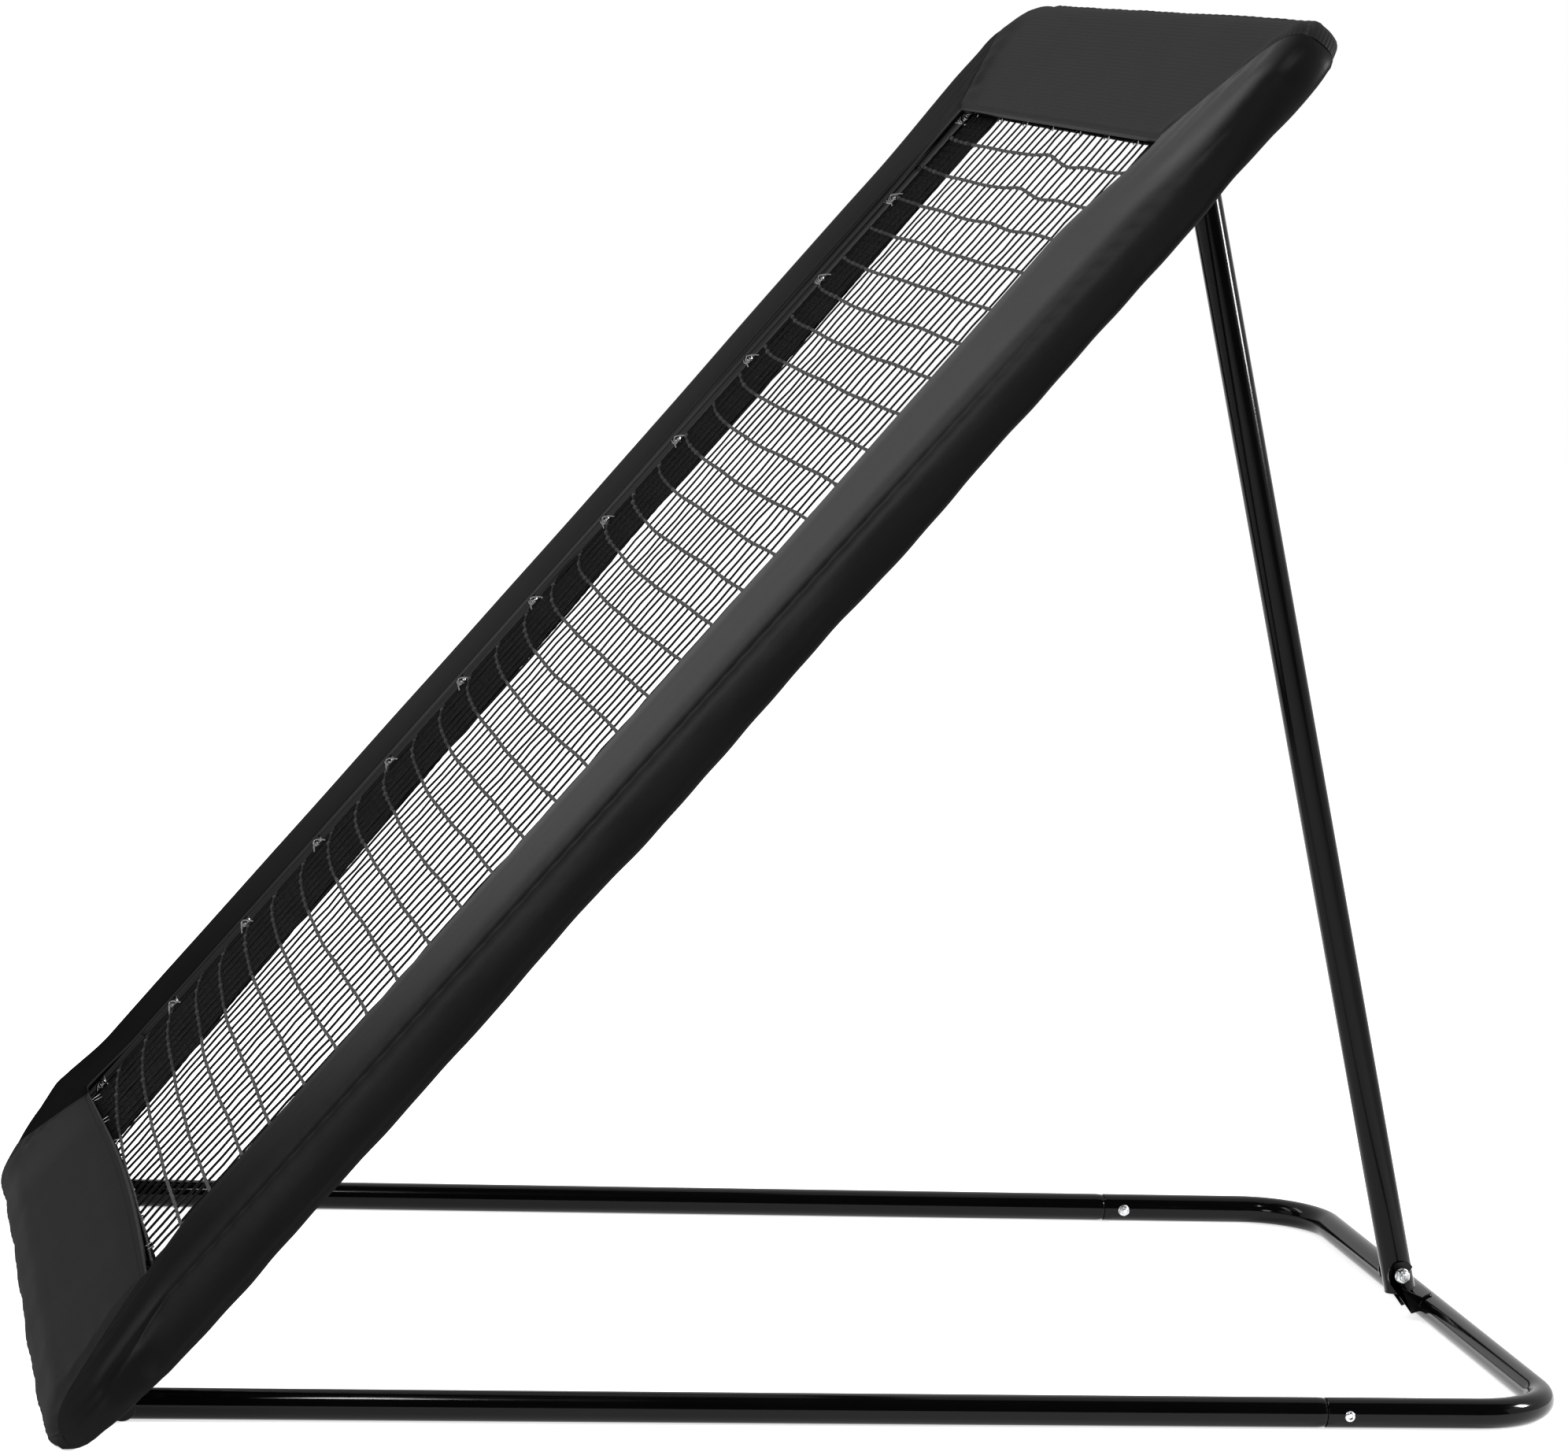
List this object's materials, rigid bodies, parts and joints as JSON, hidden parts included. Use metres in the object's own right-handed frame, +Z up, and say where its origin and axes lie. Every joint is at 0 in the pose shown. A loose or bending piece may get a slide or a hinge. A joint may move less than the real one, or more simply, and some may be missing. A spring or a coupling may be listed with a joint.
{
  "type": "pitch back rebounder",
  "caption": "Leaning ball rebounder: a spring-hung net in a padded steel frame, hinged on a flat tube base and propped by a folding rear leg.",
  "frame": {"origin": "on the ground, under the middle of the whole object's box", "axes": "+Z up, +Y from the low front edge of the net towards the rear crossbar, +X to the right when seen from the front"},
  "size_m": [1.516, 1.9214, 1.7393],
  "materials": {
    "black_paint": "gloss",
    "zinc_steel": "satin",
    "black_plastic": "matte",
    "pad_vinyl": "satin",
    "net_cord": "matte"
  },
  "bodies": {
    "base": {"rear_u_tube": "black_paint", "left_rail": "black_paint", "right_rail": "black_paint", "left_rail_cap": "black_plastic", "right_rail_cap": "black_plastic", "rear_leg_bracket": "black_paint", "left_joint_bolt": "zinc_steel", "left_joint_nut": "zinc_steel", "right_joint_bolt": "zinc_steel", "right_joint_nut": "zinc_steel"},
    "panel": {"bottom_frame_tube": "black_paint", "top_frame_tube": "black_paint", "left_side_tube": "black_paint", "right_side_tube": "black_paint", "left_hinge_bracket": "black_paint", "right_hinge_bracket": "black_paint", "left_hinge_bolt": "zinc_steel", "left_hinge_nut": "zinc_steel", "right_hinge_bolt": "zinc_steel", "right_hinge_nut": "zinc_steel", "leg_top_bracket": "black_paint", "top_pivot_bolt": "zinc_steel", "top_pivot_nut": "zinc_steel", "left_spring_01": "zinc_steel", "left_spring_02": "zinc_steel", "left_spring_03": "zinc_steel", "left_spring_04": "zinc_steel", "left_spring_05": "zinc_steel", "left_spring_06": "zinc_steel", "left_spring_07": "zinc_steel", "left_spring_08": "zinc_steel", "left_spring_09": "zinc_steel", "left_spring_10": "zinc_steel", "left_spring_11": "zinc_steel", "left_spring_12": "zinc_steel", "left_spring_13": "zinc_steel", "right_spring_01": "zinc_steel", "right_spring_02": "zinc_steel", "right_spring_03": "zinc_steel", "right_spring_04": "zinc_steel", "right_spring_05": "zinc_steel", "right_spring_06": "zinc_steel", "right_spring_07": "zinc_steel", "right_spring_08": "zinc_steel", "right_spring_09": "zinc_steel", "right_spring_10": "zinc_steel", "right_spring_11": "zinc_steel", "right_spring_12": "zinc_steel", "right_spring_13": "zinc_steel", "net": "net_cord", "left_pad": "pad_vinyl", "right_pad": "pad_vinyl", "top_pad": "pad_vinyl", "bottom_pad": "pad_vinyl"},
    "leg": {"leg_tube": "black_paint", "leg_top_plug": "black_plastic", "leg_foot_plug": "black_plastic", "foot_bolt": "zinc_steel", "foot_nut": "zinc_steel"}
  },
  "joints": [
    {"name": "panel_fold", "type": "hinge", "parent": "base", "child": "panel", "pos_m": [0, -0.87134, 0.019], "axis": [1, 0, 0], "range_deg": [-46.65, 0]},
    {"name": "leg_fold", "type": "hinge", "parent": "panel", "child": "leg", "pos_m": [0, 0.4869, 1.66367], "axis": [1, 0, 0], "range_deg": [-53.66, 0]}
  ],
  "couplings": [
    {"joint": "leg_fold", "follows": "panel_fold", "ratio": 1.15}
  ]
}
